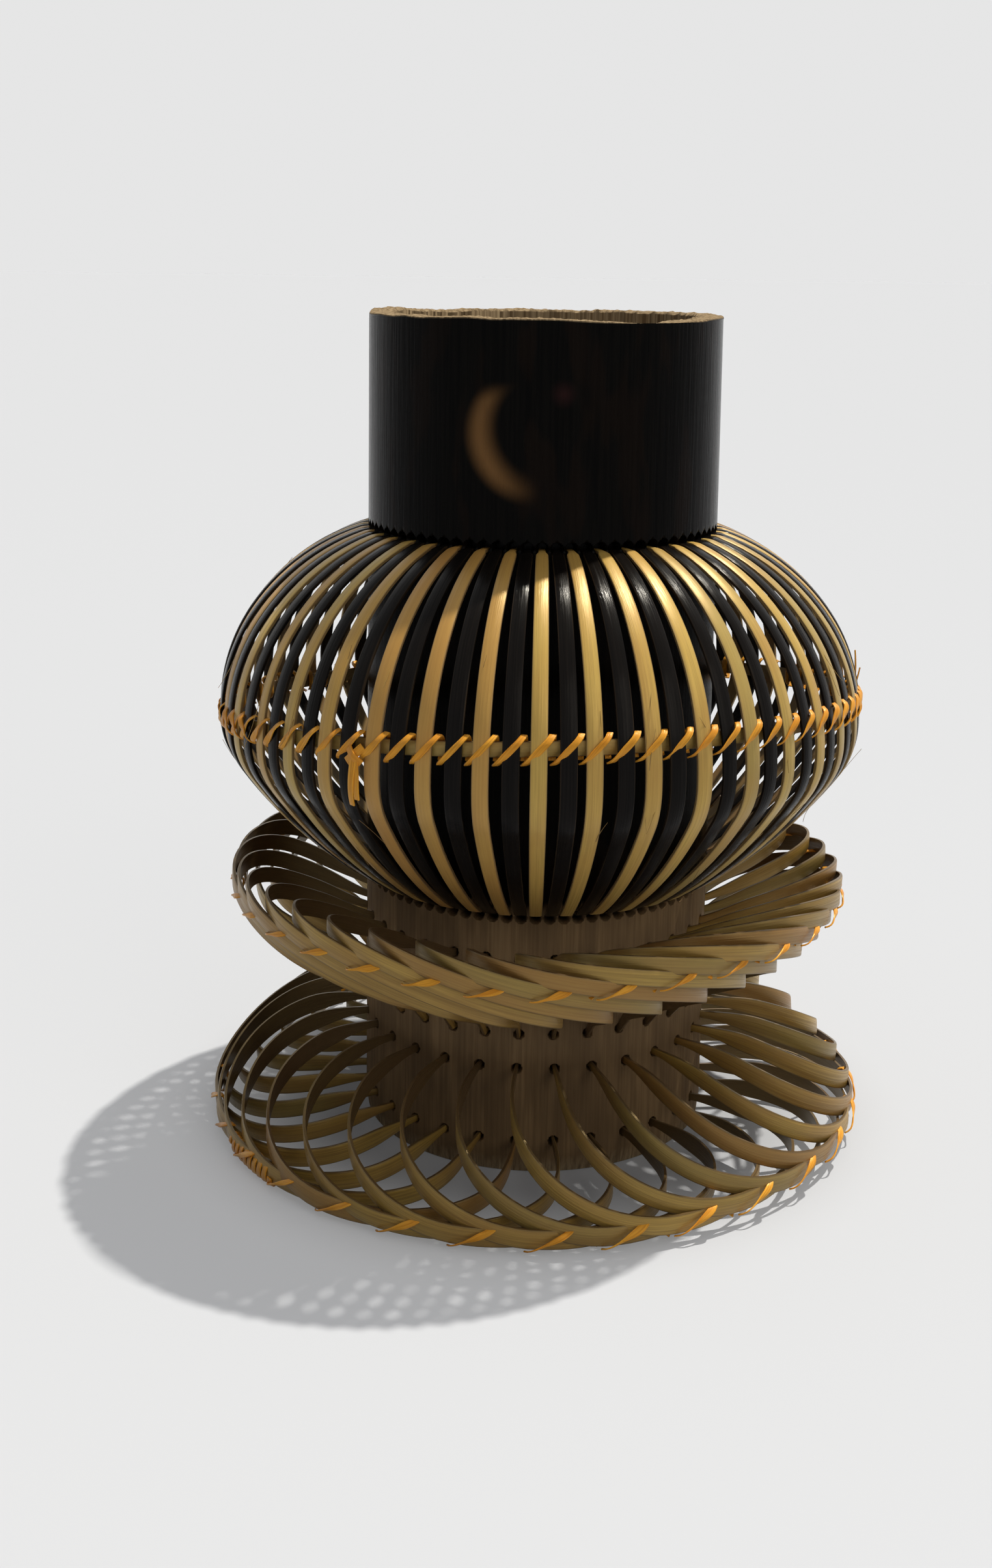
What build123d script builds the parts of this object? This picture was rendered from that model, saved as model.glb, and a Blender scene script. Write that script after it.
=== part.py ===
from build123d import *
import math
import os

# A bamboo vase in millimetres. The origin is the centre of the foot, +Z is up, and angles run
# from the front, which is -Y, counterclockwise seen from above.

# Culm: one length of thick bamboo, closed by a natural node near the foot
culm_height = 241.0
culm_foot_radius = 52.8
culm_top_radius = 50.0
bore_radius = 43.0
vessel_floor = 20.0
node_thickness = 6.0

# Pegged joints: the strips' pared ends sit in blind holes in the culm
peg_hole_depth = 5.5
peg_end_gap = 0.4
peg_side_gap = 0.15
shoulder_gap = 0.4

# Belly: bowed slats, natural and black in turn
slats_per_node = 4
slat_nodes = 10
belly_high_ring = 180.9
belly_low_ring = 79.8
belly_radius = 94.5
belly_widest_level = 127.0
slat_width = 4.4
slat_thickness = 0.9
slat_side_gap = 0.55
slat_peg_width = 2.0
slat_shoulder_length = 3.0
peg_bend_radius = 8.0
high_leaving_angle = 18.0
high_shoulder_angle = 55.0
low_leaving_angle = 14.0
low_shoulder_angle = 52.0

# Hoop inside the slats, higher at the front
hoop_level = 129.3
hoop_tilt = 5.4
hoop_high_side = 19.7
hoop_height = 4.0
hoop_thickness = 1.0
hoop_seat_gap = 0.3

# Wheels: strips bent to loops from a high hole to a low hole further round
strip_thickness = 0.9
strip_peg_width = 2.2
strips_per_node = 3
loop_stations = 12
leg_stand_off = 1.0

middle_nodes = 11
middle_reach = 5
middle_first_hole = -4.5
middle_high_ring = 65.7
middle_low_ring = 43.0
middle_rim_radius = 93.5
middle_rim_level = 72.5
middle_strip_width = 5.0

lower_nodes = 10
lower_reach = 5
lower_first_hole = -5.1
lower_high_ring = 32.5
lower_low_ring = 9.9
lower_rim_radius = 97.0
lower_rim_level = 5.6
lower_strip_width = 4.3
lower_droop = 1.15
lower_ramp = 5.5

# Lashings: a binding wound slantwise over every slat and strip
binding_diameter = 1.0
binding_bend = 1.0
binding_gap = 0.2
binding_end_gap = 2.0
belly_lengths = 4
wheel_lengths = 2
stitch_ease = 0.85
stitch_station = 105.0

# Knot and tail of the belly lashing
knot_slat = 73
tail_slat = 21
knot_radius = 1.6
knot_length = 4.5
knot_tail_drop = 14.0
knot_tail_splay = 1.2
tail_rise = 12.0
tail_lean = 2.0

slat_count = 2 * slat_nodes * slats_per_node
slat_pitch = 360 / slat_count
middle_count = middle_nodes * strips_per_node
lower_count = lower_nodes * strips_per_node
middle_pitch = 360 / middle_count
lower_pitch = 360 / lower_count
binding_radius = binding_diameter / 2


def sin(degrees):
    return math.sin(math.radians(degrees))


def cos(degrees):
    return math.cos(math.radians(degrees))


def culm_radius(level):
    return culm_foot_radius + (culm_top_radius - culm_foot_radius) * level / culm_height


def polar(radius, angle, level):
    return Vector(radius * sin(angle), -radius * cos(angle), level)


def peg_hole_radius(width, thickness):
    return math.hypot(width / 2, thickness / 2) + peg_side_gap


def turned(solid, angle):
    return Rot(0, 0, angle) * solid


# Culm
def peg_holes(level, count, first, radius):
    holes = []
    for number in range(count):
        angle = first + number * 360 / count
        bottom = polar(culm_radius(level) - peg_hole_depth, angle, level)
        drill = Plane(origin=bottom, z_dir=polar(1, angle, 0))
        holes.append(drill * extrude(Circle(radius), 2 * peg_hole_depth))
    return holes


def culm():
    wall = Pos(Z=culm_height / 2) * Cone(culm_foot_radius, culm_top_radius, culm_height)
    vessel_depth = culm_height - vessel_floor
    foot_depth = vessel_floor - node_thickness
    vessel = Pos(Z=vessel_floor + vessel_depth / 2) * Cylinder(bore_radius, vessel_depth)
    foot = Pos(Z=foot_depth / 2) * Cylinder(bore_radius, foot_depth)
    slat_hole = peg_hole_radius(slat_peg_width, slat_thickness)
    strip_hole = peg_hole_radius(strip_peg_width, strip_thickness)
    middle_low_first = middle_first_hole + middle_reach * middle_pitch
    lower_low_first = lower_first_hole + lower_reach * lower_pitch
    holes = peg_holes(belly_high_ring, slat_count, 0, slat_hole)
    holes += peg_holes(belly_low_ring, slat_count, 0, slat_hole)
    holes += peg_holes(middle_high_ring, middle_count, middle_first_hole, strip_hole)
    holes += peg_holes(middle_low_ring, middle_count, middle_low_first, strip_hole)
    holes += peg_holes(lower_high_ring, lower_count, lower_first_hole, strip_hole)
    holes += peg_holes(lower_low_ring, lower_count, lower_low_first, strip_hole)
    return wall - vessel - foot - holes


# Belly slats
def bow_radii(ring, leaving, shoulder):
    """Radii of the shoulder arc and the side arc that carry a slat from its peg to the widest level."""
    run = belly_radius - slat_thickness / 2 - culm_radius(ring) - peg_bend_radius * sin(leaving)
    rise = abs(ring - belly_widest_level) - peg_bend_radius * (1 - cos(leaving))
    shoulder_run = sin(shoulder) - sin(leaving)
    shoulder_rise = cos(leaving) - cos(shoulder)
    side_run = 1 - sin(shoulder)
    side_rise = cos(shoulder)
    scale = shoulder_run * side_rise - side_run * shoulder_rise
    shoulder_radius = (run * side_rise - side_run * rise) / scale
    side_radius = (shoulder_run * rise - shoulder_rise * run) / scale
    return shoulder_radius, side_radius


def slat_reach(level):
    """Outer radius of the slats at a level near the widest one."""
    if level > belly_widest_level:
        side = bow_radii(belly_high_ring, high_leaving_angle, high_shoulder_angle)[1]
    else:
        side = bow_radii(belly_low_ring, low_leaving_angle, low_shoulder_angle)[1]
    drop = side - math.sqrt(side**2 - (level - belly_widest_level) ** 2)
    return belly_radius - drop


def slat_path():
    high_shoulder, high_side = bow_radii(belly_high_ring, high_leaving_angle, high_shoulder_angle)
    low_shoulder, low_side = bow_radii(belly_low_ring, low_leaving_angle, low_shoulder_angle)
    high_turn = high_shoulder_angle - high_leaving_angle
    low_turn = low_shoulder_angle - low_leaving_angle
    peg_end = culm_radius(belly_high_ring) - peg_hole_depth + peg_end_gap
    path = [Line((peg_end, belly_high_ring), (culm_radius(belly_high_ring), belly_high_ring))]
    bends = [
        (peg_bend_radius, high_leaving_angle),
        (high_shoulder, high_turn),
        (high_side, 90 - high_shoulder_angle),
        (low_side, 90 - low_shoulder_angle),
        (low_shoulder, low_turn),
        (peg_bend_radius, low_leaving_angle),
    ]
    for radius, turn in bends:
        path.append(JernArc(path[-1] @ 1, path[-1] % 1, radius, -turn))
    peg_end = culm_radius(belly_low_ring) - peg_hole_depth + peg_end_gap
    path.append(Line(path[-1] @ 1, (peg_end, belly_low_ring)))
    return Plane.XZ * Wire(path)


def slat():
    path = slat_path()
    section = Plane(origin=path @ 0, x_dir=(0, 0, 1), z_dir=path % 0)
    band = sweep(section * Rectangle(slat_thickness, slat_width), path=path)
    ring_pitch = math.radians(slat_pitch) * culm_radius(belly_high_ring)
    ring_half = (ring_pitch - slat_side_gap) / 2
    wide_half = slat_width / 2
    front = Polyline(
        (-ring_half, belly_high_ring + slat_thickness),
        (ring_half, belly_high_ring + slat_thickness),
        (wide_half, belly_widest_level),
        (ring_half, belly_low_ring - slat_thickness),
        (-ring_half, belly_low_ring - slat_thickness),
        (-wide_half, belly_widest_level),
        close=True,
    )
    taper = extrude(Plane.YZ * make_face(front), belly_radius)
    shoulder = culm_radius(belly_low_ring) + shoulder_gap
    peg_half = slat_peg_width / 2
    plan = Polyline(
        (0, -peg_half),
        (shoulder, -peg_half),
        (shoulder + slat_shoulder_length, -wide_half),
        (belly_radius, -wide_half),
        (belly_radius, wide_half),
        (shoulder + slat_shoulder_length, wide_half),
        (shoulder, peg_half),
        (0, peg_half),
        close=True,
    )
    pared = extrude(make_face(plan), culm_height)
    return turned(band & taper & pared, -90)


# Hoop
def hoop_climb(angle):
    return hoop_level + belly_radius * math.tan(math.radians(hoop_tilt)) * cos(angle - hoop_high_side)


def hoop_seat(angle):
    """Outer radius that lies inside the slats over the hoop's whole height."""
    edges = [hoop_climb(angle) + side * hoop_height / 2 for side in (-1, 1)]
    return min(slat_reach(edge) for edge in edges) - slat_thickness - hoop_seat_gap


hoop_along = min(hoop_seat(hoop_high_side), hoop_seat(hoop_high_side + 180))
hoop_across = min(hoop_seat(hoop_high_side + 90), hoop_seat(hoop_high_side - 90))


def hoop():
    ring = Ellipse(hoop_across, hoop_along)
    ring -= Ellipse(hoop_across - hoop_thickness, hoop_along - hoop_thickness)
    band = extrude(ring, hoop_height / 2, both=True)
    return Pos(Z=hoop_level) * turned(Rot(-hoop_tilt, 0, 0) * band, hoop_high_side)


def hoop_radius(angle):
    """Outer radius of the tilted hoop, seen from above."""
    along = hoop_along * cos(hoop_tilt)
    turn = angle - hoop_high_side
    return along * hoop_across / math.hypot(hoop_across * cos(turn), along * sin(turn))


# Wheel strips
def middle_loop(station):
    """A flat half ellipse, tipped so that it rises from its high hole over the rim to its low hole."""
    centre = (middle_high_ring + middle_low_ring) / 2
    half_drop = (middle_high_ring - middle_low_ring) / 2
    return centre + half_drop * cos(station) + (middle_rim_level - centre) * sin(station)


def lower_loop(station):
    """A loop that droops to the floor and lies there, its outgoing leg above the returning ones."""
    ring = lower_high_ring if station < 90 else lower_low_ring
    droop = (ring - lower_rim_level) * (1 - sin(station)) ** lower_droop
    return lower_rim_level + droop + lower_ramp * sin(station) * cos(station)


def loop_point(station, level, rings, span, rim_radius):
    """A point of a loop whose high hole is at the front and whose low hole is a span further round."""
    high_ring, low_ring = rings
    foot_radius = culm_radius((high_ring + low_ring) / 2) + leg_stand_off
    foot = foot_radius * cos(span / 2)
    out = foot + (rim_radius - foot) * sin(station)
    along = -foot_radius * sin(span / 2) * cos(station)
    reach = math.hypot(out, along)
    return polar(reach, span / 2 + math.degrees(math.atan2(along, out)), level(station))


def loop_upright(loop, flat):
    """The direction of a strip's width: square to a flat loop, and upright on a drooping one."""
    if not flat:
        return Vector(0, 0, 1)
    start, rim, end = (loop_point(station, *loop) for station in (0, 90, 180))
    return (rim - start).cross(end - start).normalized()


def strip(loop, width, flat):
    """A strip of bamboo along a loop, with its ends pared to pegs."""
    level, rings, span, rim_radius = loop
    stations = [180 * step / loop_stations for step in range(loop_stations + 1)]
    points = [loop_point(station, *loop) for station in stations]
    pegs = []
    for ring, angle in zip(rings, (0, span)):
        radii = (culm_radius(ring) - peg_hole_depth + peg_end_gap, culm_radius(ring))
        pegs.append([polar(radius, angle, ring) for radius in radii])
    points = pegs[0] + points + pegs[1][::-1]
    widths = [strip_peg_width] * 3 + [width] * (loop_stations - 1) + [strip_peg_width] * 3
    upright = loop_upright(loop, flat)
    sections = []
    for number, (point, breadth) in enumerate(zip(points, widths)):
        before = points[max(number - 1, 0)]
        after = points[min(number + 1, len(points) - 1)]
        heading = (after - before).normalized()
        across = (upright - heading * upright.dot(heading)).normalized()
        place = Plane(origin=point, x_dir=across, z_dir=heading)
        sections.append(place * Rectangle(breadth, strip_thickness))
    return loft(sections, ruled=True)


# Lashings
def winding(turns, first, pitch, corner):
    """A binding of slanting turns; corner gives the point at an angle, outside or in, high or low."""
    start = first - pitch
    points = [corner(start, False, False)]
    for turn in range(turns):
        points.append(corner(start + turn * pitch, True, False))
        gap = start + (turn + 1) * pitch
        points += [corner(gap, True, True), corner(gap, False, True), corner(gap, False, False)]
    points[-1] += (points[-2] - points[-1]).normalized() * binding_end_gap
    path = Wire(FilletPolyline(*points, radius=binding_bend).edges())
    section = Plane(origin=path @ 0, z_dir=path % 0)
    return path, sweep(section * Circle(binding_radius), path=path)


def least_gap(path):
    """Least distance between stretches of a binding that aren't neighbours along it."""
    spacing = binding_diameter / 2
    count = int(path.length / spacing)
    points = [tuple(path.position_at(number / count)) for number in range(count + 1)]
    apart = int(math.pi * (binding_bend + binding_diameter) / spacing)
    nearest = min(
        math.dist(points[one], points[other])
        for one in range(len(points))
        for other in range(one + apart, min(one + 20 * apart, len(points)))
    )
    return nearest - binding_diameter


def stitch_rise():
    return hoop_height / 2 + binding_gap + stitch_ease + binding_radius


def stitch_radius(angle):
    """Radius at which the belly lashing passes over the slats."""
    level = hoop_climb(angle)
    reach = max(slat_reach(level + side * stitch_rise()) for side in (-1, 0, 1))
    return reach / cos(slat_pitch / 2) + binding_gap + binding_radius


def belly_corner(angle, outside, high):
    level = hoop_climb(angle) + (stitch_rise() if high else -stitch_rise())
    if outside:
        return polar(stitch_radius(angle), angle, level)
    inner = hoop_radius(angle) - hoop_thickness - binding_gap - stitch_ease - binding_radius
    return polar(inner, angle, level)


def wheel_corner(loop, width, flat, pitch):
    """The corners of a lashing that takes in each strip just past the rim, before it is crossed."""
    held = loop_point(stitch_station, *loop)
    half = loop_upright(loop, flat) * (width / 2)
    edges = {True: held + half, False: held - half}
    radii = [math.hypot(edge.X, edge.Y) for edge in edges.values()]
    clear = binding_gap + binding_radius
    lean = max(radii) - math.hypot(held.X, held.Y)
    outer = (loop[-1] + lean + strip_thickness / 2 + clear) / cos(pitch / 2)
    inner = min(radii) - strip_thickness / 2 - clear - stitch_ease

    def corner(angle, outside, high):
        rise = clear + stitch_ease
        return polar(outer if outside else inner, angle, edges[high].Z + (rise if high else -rise))

    held_angle = math.degrees(math.atan2(held.X, -held.Y))
    return corner, held_angle


# Knot
def knot():
    angle = knot_slat * slat_pitch
    level = hoop_climb(angle)
    seat = stitch_radius(angle) + binding_radius + binding_gap
    centre = polar(seat + knot_radius, angle, level)
    barrel = Plane(origin=centre, z_dir=polar(1, angle + 90, 0)) * Cylinder(knot_radius, knot_length)
    body = fillet(barrel.edges().filter_by(GeomType.CIRCLE), knot_radius / 2)
    for side in (-1, 1):
        splayed = angle + side * knot_tail_splay
        end = polar(belly_radius + binding_diameter, splayed, level - knot_tail_drop)
        start = centre + polar(1, angle + 90, 0) * side * knot_radius / 2
        heading = (end - start).normalized()
        length = (end - start).length
        body += Plane(origin=start, z_dir=heading) * extrude(Circle(binding_radius), length)
    return body


def tail():
    angle = (tail_slat + 0.5) * slat_pitch
    level = hoop_climb(angle)
    seat = stitch_radius(angle) + binding_diameter + binding_gap
    foot = polar(seat, angle, level + stitch_rise())
    tip = polar(seat + tail_lean, angle, level + stitch_rise() + tail_rise)
    rise = Plane(origin=foot, z_dir=tip - foot)
    return rise * extrude(Circle(binding_radius), (tip - foot).length)


# Every node, by name
nodes = {"culm": culm(), "belly_hoop": hoop()}

slat_solid = slat()
for node in range(slat_nodes):
    for shade, name in enumerate(("natural_slats", "black_slats")):
        numbers = [2 * (node * slats_per_node + place) + shade for place in range(slats_per_node)]
        group = [turned(slat_solid, number * slat_pitch) for number in numbers]
        nodes[f"{name}_{node + 1:02}"] = Compound(children=group)

middle_span = middle_reach * middle_pitch
lower_span = lower_reach * lower_pitch
middle = (middle_loop, (middle_high_ring, middle_low_ring), middle_span, middle_rim_radius)
lower = (lower_loop, (lower_high_ring, lower_low_ring), lower_span, lower_rim_radius)
wheels = {
    "middle": (middle, middle_strip_width, True, middle_first_hole, middle_nodes, middle_pitch),
    "lower": (lower, lower_strip_width, False, lower_first_hole, lower_nodes, lower_pitch),
}
for wheel, (loop, width, flat, first, groups, pitch) in wheels.items():
    strip_solid = strip(loop, width, flat)
    for node in range(groups):
        numbers = [node * strips_per_node + place for place in range(strips_per_node)]
        group = [turned(strip_solid, first + number * pitch) for number in numbers]
        nodes[f"{wheel}_wheel_strips_{node + 1:02}"] = Compound(children=group)

for length in range(belly_lengths):
    turns = slat_count // belly_lengths
    first = (length * turns + 0.5) * slat_pitch
    path, binding = winding(turns, first, slat_pitch, belly_corner)
    nodes[f"belly_lashing_{length + 1}"] = binding
    print(f"belly lashing {length + 1}: least gap to itself {least_gap(path):.2f} mm")

for wheel, (loop, width, flat, first, groups, pitch) in wheels.items():
    corner, held_angle = wheel_corner(loop, width, flat, pitch)
    count = groups * strips_per_node
    for length in range(wheel_lengths):
        begin = count * length // wheel_lengths
        end = count * (length + 1) // wheel_lengths
        path, binding = winding(end - begin, first + held_angle + begin * pitch, pitch, corner)
        nodes[f"{wheel}_wheel_lashing_{length + 1}"] = binding
        print(f"{wheel} wheel lashing {length + 1}: least gap to itself {least_gap(path):.2f} mm")

nodes["belly_knot"] = knot()
nodes["belly_tail"] = tail()

os.makedirs("parts", exist_ok=True)
for name, solid in nodes.items():
    export_step(solid, f"parts/{name}.step")
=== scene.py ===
# %% [markdown]
# The bamboo vase: a lesson in strips
# The vase is one thick culm of bamboo with a belly of split slats and two wheels of looped strips.
# Every part of it grew or was split, so almost all of it is a strip that follows a curve.
# The lesson builds a single tool, a strip swept along stations, and uses it for slats, loops and binding.

# %% Load the frame
import math

import bpy
import numpy as np
from mathutils import Matrix, Vector


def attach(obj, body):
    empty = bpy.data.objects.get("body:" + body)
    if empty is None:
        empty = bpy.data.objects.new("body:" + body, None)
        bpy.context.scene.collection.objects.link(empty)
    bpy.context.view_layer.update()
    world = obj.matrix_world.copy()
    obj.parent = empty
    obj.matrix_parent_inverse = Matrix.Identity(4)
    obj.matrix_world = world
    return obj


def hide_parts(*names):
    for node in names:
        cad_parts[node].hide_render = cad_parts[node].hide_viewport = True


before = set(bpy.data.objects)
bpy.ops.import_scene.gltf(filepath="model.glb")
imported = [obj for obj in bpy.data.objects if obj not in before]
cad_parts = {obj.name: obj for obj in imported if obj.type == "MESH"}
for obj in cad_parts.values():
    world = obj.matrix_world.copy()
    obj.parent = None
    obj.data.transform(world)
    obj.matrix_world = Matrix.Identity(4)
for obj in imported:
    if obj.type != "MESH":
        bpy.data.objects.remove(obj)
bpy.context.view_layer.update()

print("nodes in the frame:", len(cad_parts))

# %% [markdown]
# Sizes in this script are millimetres, as a maker would measure them, and meshes are made in metres.
# Angles are degrees round the culm, measured from the front towards the right.
# Hand work is never exact, so each strip gets a small error of its own.
# The errors come from one seeded generator, so that the vase is the same each time it is built.

# %% Units and helpers
METRES = 0.001
hand = np.random.default_rng(41)


def sine(angle):
    return np.sin(np.radians(angle))


def cosine(angle):
    return np.cos(np.radians(angle))


def polar(radius, angle, level):
    """Points at a radius, an angle round the culm and a level, as rows of x, y and z."""
    radius, angle, level = np.broadcast_arrays(radius, angle, level)
    return np.stack([radius * sine(angle), -radius * cosine(angle), level], axis=-1).astype(float)


def unit(vectors):
    return vectors / np.linalg.norm(vectors, axis=-1, keepdims=True)


def smooth_step(value, start, end):
    share = np.clip((value - start) / (end - start), 0, 1)
    return share * share * (3 - 2 * share)


print("front of the culm:", polar(50, 0, 100))

# %% [markdown]
# Materials come first, because each piece is given its finish as it is made.
# A material is a small tree of nodes, and a few short helpers keep the trees readable.
# The first adds a node and fills or links its sockets, and the others use it for the commonest nodes.

# %% Node helpers
MIX_FIRST, MIX_SECOND, MIX_RESULT = 6, 7, 2


def add_node(tree, kind, sockets, **settings):
    """Adds a node, sets its own settings, and fills each named socket with a value or a link."""
    made = tree.nodes.new(kind)
    for name, value in settings.items():
        setattr(made, name, value)
    for socket, value in sockets.items():
        if isinstance(value, bpy.types.NodeSocket):
            tree.links.new(value, made.inputs[socket])
        else:
            made.inputs[socket].default_value = value
    return made


def math_node(tree, operation, *values, clamp=False):
    """The result of one sum on up to three values or links."""
    sockets = dict(enumerate(values))
    made = add_node(tree, "ShaderNodeMath", sockets, operation=operation, use_clamp=clamp)
    return made.outputs[0]


def mix_node(tree, share, first, second, way="MIX"):
    """Two colours mixed by a share that changes over the surface."""
    sockets = {0: share, MIX_FIRST: first, MIX_SECOND: second}
    made = add_node(tree, "ShaderNodeMix", sockets, data_type="RGBA", blend_type=way)
    return made.outputs[MIX_RESULT]


def range_node(tree, value, low, high, to_low=0.0, to_high=1.0):
    """A value carried from one range to another with soft ends."""
    sockets = {"Value": value, 1: low, 2: high, 3: to_low, 4: to_high}
    made = add_node(tree, "ShaderNodeMapRange", sockets, interpolation_type="SMOOTHSTEP")
    return made.outputs[0]


def attribute_node(tree, name):
    """A value that the mesh carries at each of its points."""
    made = add_node(tree, "ShaderNodeAttribute", {}, attribute_name=name)
    return made.outputs["Fac"]


print("node helpers ready")

# %% [markdown]
# Bamboo is a bundle of straight fibres, so its grain is a noise drawn out many times along the strip.
# A picture of bamboo could give it too, but noise has no seams and is sharp from near and far.
# Every finish on this vase shows it, so it is a node group that is built once.
# Fibre is the fine streak and Patch the slow change of tone.
# Vector is in millimetres with Z along the fibres, Fineness says how many streaks lie in a millimetre,
# and Length how many times longer than wide a streak is.

# %% Grain node group
patch_scale = (0.11, 0.11, 0.035)
patch_detail = 2.0
patch_range = (0.32, 0.68)
fibre_detail = 4.0
fibre_roughness = 0.62
fibre_range = (0.3, 0.7)


def build_grain():
    group = bpy.data.node_groups.new("bamboo_grain", "ShaderNodeTree")
    face = group.interface
    face.new_socket(name="Vector", in_out="INPUT", socket_type="NodeSocketVector")
    face.new_socket(name="Fineness", in_out="INPUT", socket_type="NodeSocketFloat")
    face.new_socket(name="Length", in_out="INPUT", socket_type="NodeSocketFloat")
    face.new_socket(name="Fibre", in_out="OUTPUT", socket_type="NodeSocketFloat")
    face.new_socket(name="Patch", in_out="OUTPUT", socket_type="NodeSocketFloat")
    given = group.nodes.new("NodeGroupInput").outputs
    drawn_out = math_node(group, "DIVIDE", given["Fineness"], given["Length"])
    stretch = add_node(group, "ShaderNodeCombineXYZ",
                       {0: given["Fineness"], 1: given["Fineness"], 2: drawn_out})
    fine = add_node(group, "ShaderNodeVectorMath",
                    {0: given["Vector"], 1: stretch.outputs[0]}, operation="MULTIPLY")
    slow = add_node(group, "ShaderNodeVectorMath",
                    {0: given["Vector"], 1: patch_scale}, operation="MULTIPLY")
    fibre = add_node(group, "ShaderNodeTexNoise", {"Vector": fine.outputs[0], "Scale": 1.0,
                                                   "Detail": fibre_detail, "Roughness": fibre_roughness})
    patch = add_node(group, "ShaderNodeTexNoise", {"Vector": slow.outputs[0], "Scale": 1.0,
                                                   "Detail": patch_detail})
    shown = group.nodes.new("NodeGroupOutput")
    group.links.new(range_node(group, fibre.outputs[0], *fibre_range), shown.inputs["Fibre"])
    group.links.new(range_node(group, patch.outputs[0], *patch_range), shown.inputs["Patch"])
    return group


grain = build_grain()
print("grain group with", len(grain.nodes), "nodes")

# %% [markdown]
# A strip carries its own map: how far across and how far along a point lies, in millimetres.
# It also carries a tone, one number for the whole strip, and an edge mask for its knife-cut sides.
# The tone moves the grain sideways too, so that no two strips show the same streaks.

# %% Strip grain helper
TONE_STEP = 97.0


def strip_grain(tree, fineness, length):
    """Fibre and Patch of a strip, moved aside by its tone."""
    place = add_node(tree, "ShaderNodeSeparateXYZ",
                     {0: add_node(tree, "ShaderNodeUVMap", {}, uv_map="strip_map").outputs[0]})
    aside = math_node(tree, "MULTIPLY", attribute_node(tree, "tone"), TONE_STEP)
    along = add_node(tree, "ShaderNodeCombineXYZ",
                     {0: place.outputs[0], 1: aside, 2: place.outputs[1]})
    made = add_node(tree, "ShaderNodeGroup", {}, node_tree=grain)
    tree.links.new(along.outputs[0], made.inputs["Vector"])
    made.inputs["Fineness"].default_value = fineness
    made.inputs["Length"].default_value = length
    return made.outputs["Fibre"], made.outputs["Patch"]


def new_material(name):
    """An empty material, its node tree and its Principled BSDF."""
    made = bpy.data.materials.new(name)
    made.use_nodes = True
    return made, made.node_tree, made.node_tree.nodes["Principled BSDF"]


def set_relief(tree, shader, height, depth):
    """Raises and lowers the surface a little, with a Bump node, by a depth in millimetres."""
    sockets = {"Height": height, "Strength": 1.0, "Distance": depth * METRES}
    bump = add_node(tree, "ShaderNodeBump", sockets)
    tree.links.new(bump.outputs[0], shader.inputs["Normal"])


print("strip grain ready")

# %% [markdown]
# Natural slats keep the outer skin of the culm: khaki gold, waxy, with fine pale and dark fibres.
# Some are greener and some browner, as they came from the stem. Their split face and sides are painted
# darker: partly their own colour, partly painted shade.
# The tone of the strip picks its place between olive, gold and brown, and the fibres do the rest.
# The strips of the wheels have the same finish in a duller colour, so one function makes both.

# %% Golden bamboo
skin_grain = (2.6, 70.0)
skin_relief = 0.03
skin_gloss = 1.0
skin_gloss_tint = (1.0, 0.76, 0.36, 1)
dull_fibre = 0.12
brown_from, brown_share = 0.5, 0.7
olive_until, olive_share = 0.4, 0.65
patch_share = 0.42
split_side_shade_share = 0.85


def bamboo_finish(name, pale, deep, brown, olive, side, roughness):
    """Split bamboo: pale and deep fibres, brown and olive for some strips, and the cut sides painted
    darker, partly as painted shade.
    """
    made, tree, shader = new_material(name)
    fibre, patch = strip_grain(tree, *skin_grain)
    tone = attribute_node(tree, "tone")
    colour = mix_node(tree, fibre, deep, pale)
    colour = mix_node(tree, range_node(tree, tone, brown_from, 1.0, 0.0, brown_share), colour, brown)
    colour = mix_node(tree, range_node(tree, tone, 0.0, olive_until, olive_share, 0.0), colour, olive)
    colour = mix_node(tree, math_node(tree, "MULTIPLY", patch, patch_share), colour, brown)
    # The split face and sides take the side colour: partly the split bamboo's own colour, partly painted
    # shade.
    edge = math_node(tree, "MULTIPLY", attribute_node(tree, "edge"), split_side_shade_share)
    colour = mix_node(tree, edge, colour, side)
    tree.links.new(colour, shader.inputs["Base Color"])
    dull = range_node(tree, fibre, 0.0, 1.0, roughness + dull_fibre, roughness)
    tree.links.new(dull, shader.inputs["Roughness"])
    shader.inputs["Specular IOR Level"].default_value = skin_gloss
    shader.inputs["Specular Tint"].default_value = skin_gloss_tint
    set_relief(tree, shader, fibre, skin_relief)
    return made


natural_bamboo = bamboo_finish(
    "natural_bamboo", pale=(0.62, 0.425, 0.105, 1), deep=(0.43, 0.29, 0.072, 1),
    brown=(0.42, 0.20, 0.052, 1), olive=(0.32, 0.24, 0.08, 1), side=(0.17, 0.105, 0.05, 1),
    roughness=0.31)
# The wheels' split side is painted nearly black: painted shade, where it faces away from the light.
wheel_bamboo = bamboo_finish(
    "wheel_bamboo", pale=(0.46, 0.30, 0.07, 1), deep=(0.25, 0.155, 0.042, 1),
    brown=(0.23, 0.105, 0.034, 1), olive=(0.17, 0.13, 0.045, 1), side=(0.05, 0.031, 0.02, 1),
    roughness=0.30)
print("split bamboo finishes:", natural_bamboo.name, wheel_bamboo.name)

# %% [markdown]
# Black slats are the same bamboo under a dark lacquer, so the fibres show as relief more than as colour.
# Where the knife left a sharp side the lacquer is thin, and a brown line comes through.

# %% Black bamboo
black_deep = (0.003, 0.0024, 0.002, 1)
black_pale = (0.008, 0.0062, 0.0052, 1)
black_worn = (0.06, 0.038, 0.02, 1)
black_worn_share = 0.5
black_roughness = (0.26, 0.14)
black_gloss = 0.07


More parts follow.
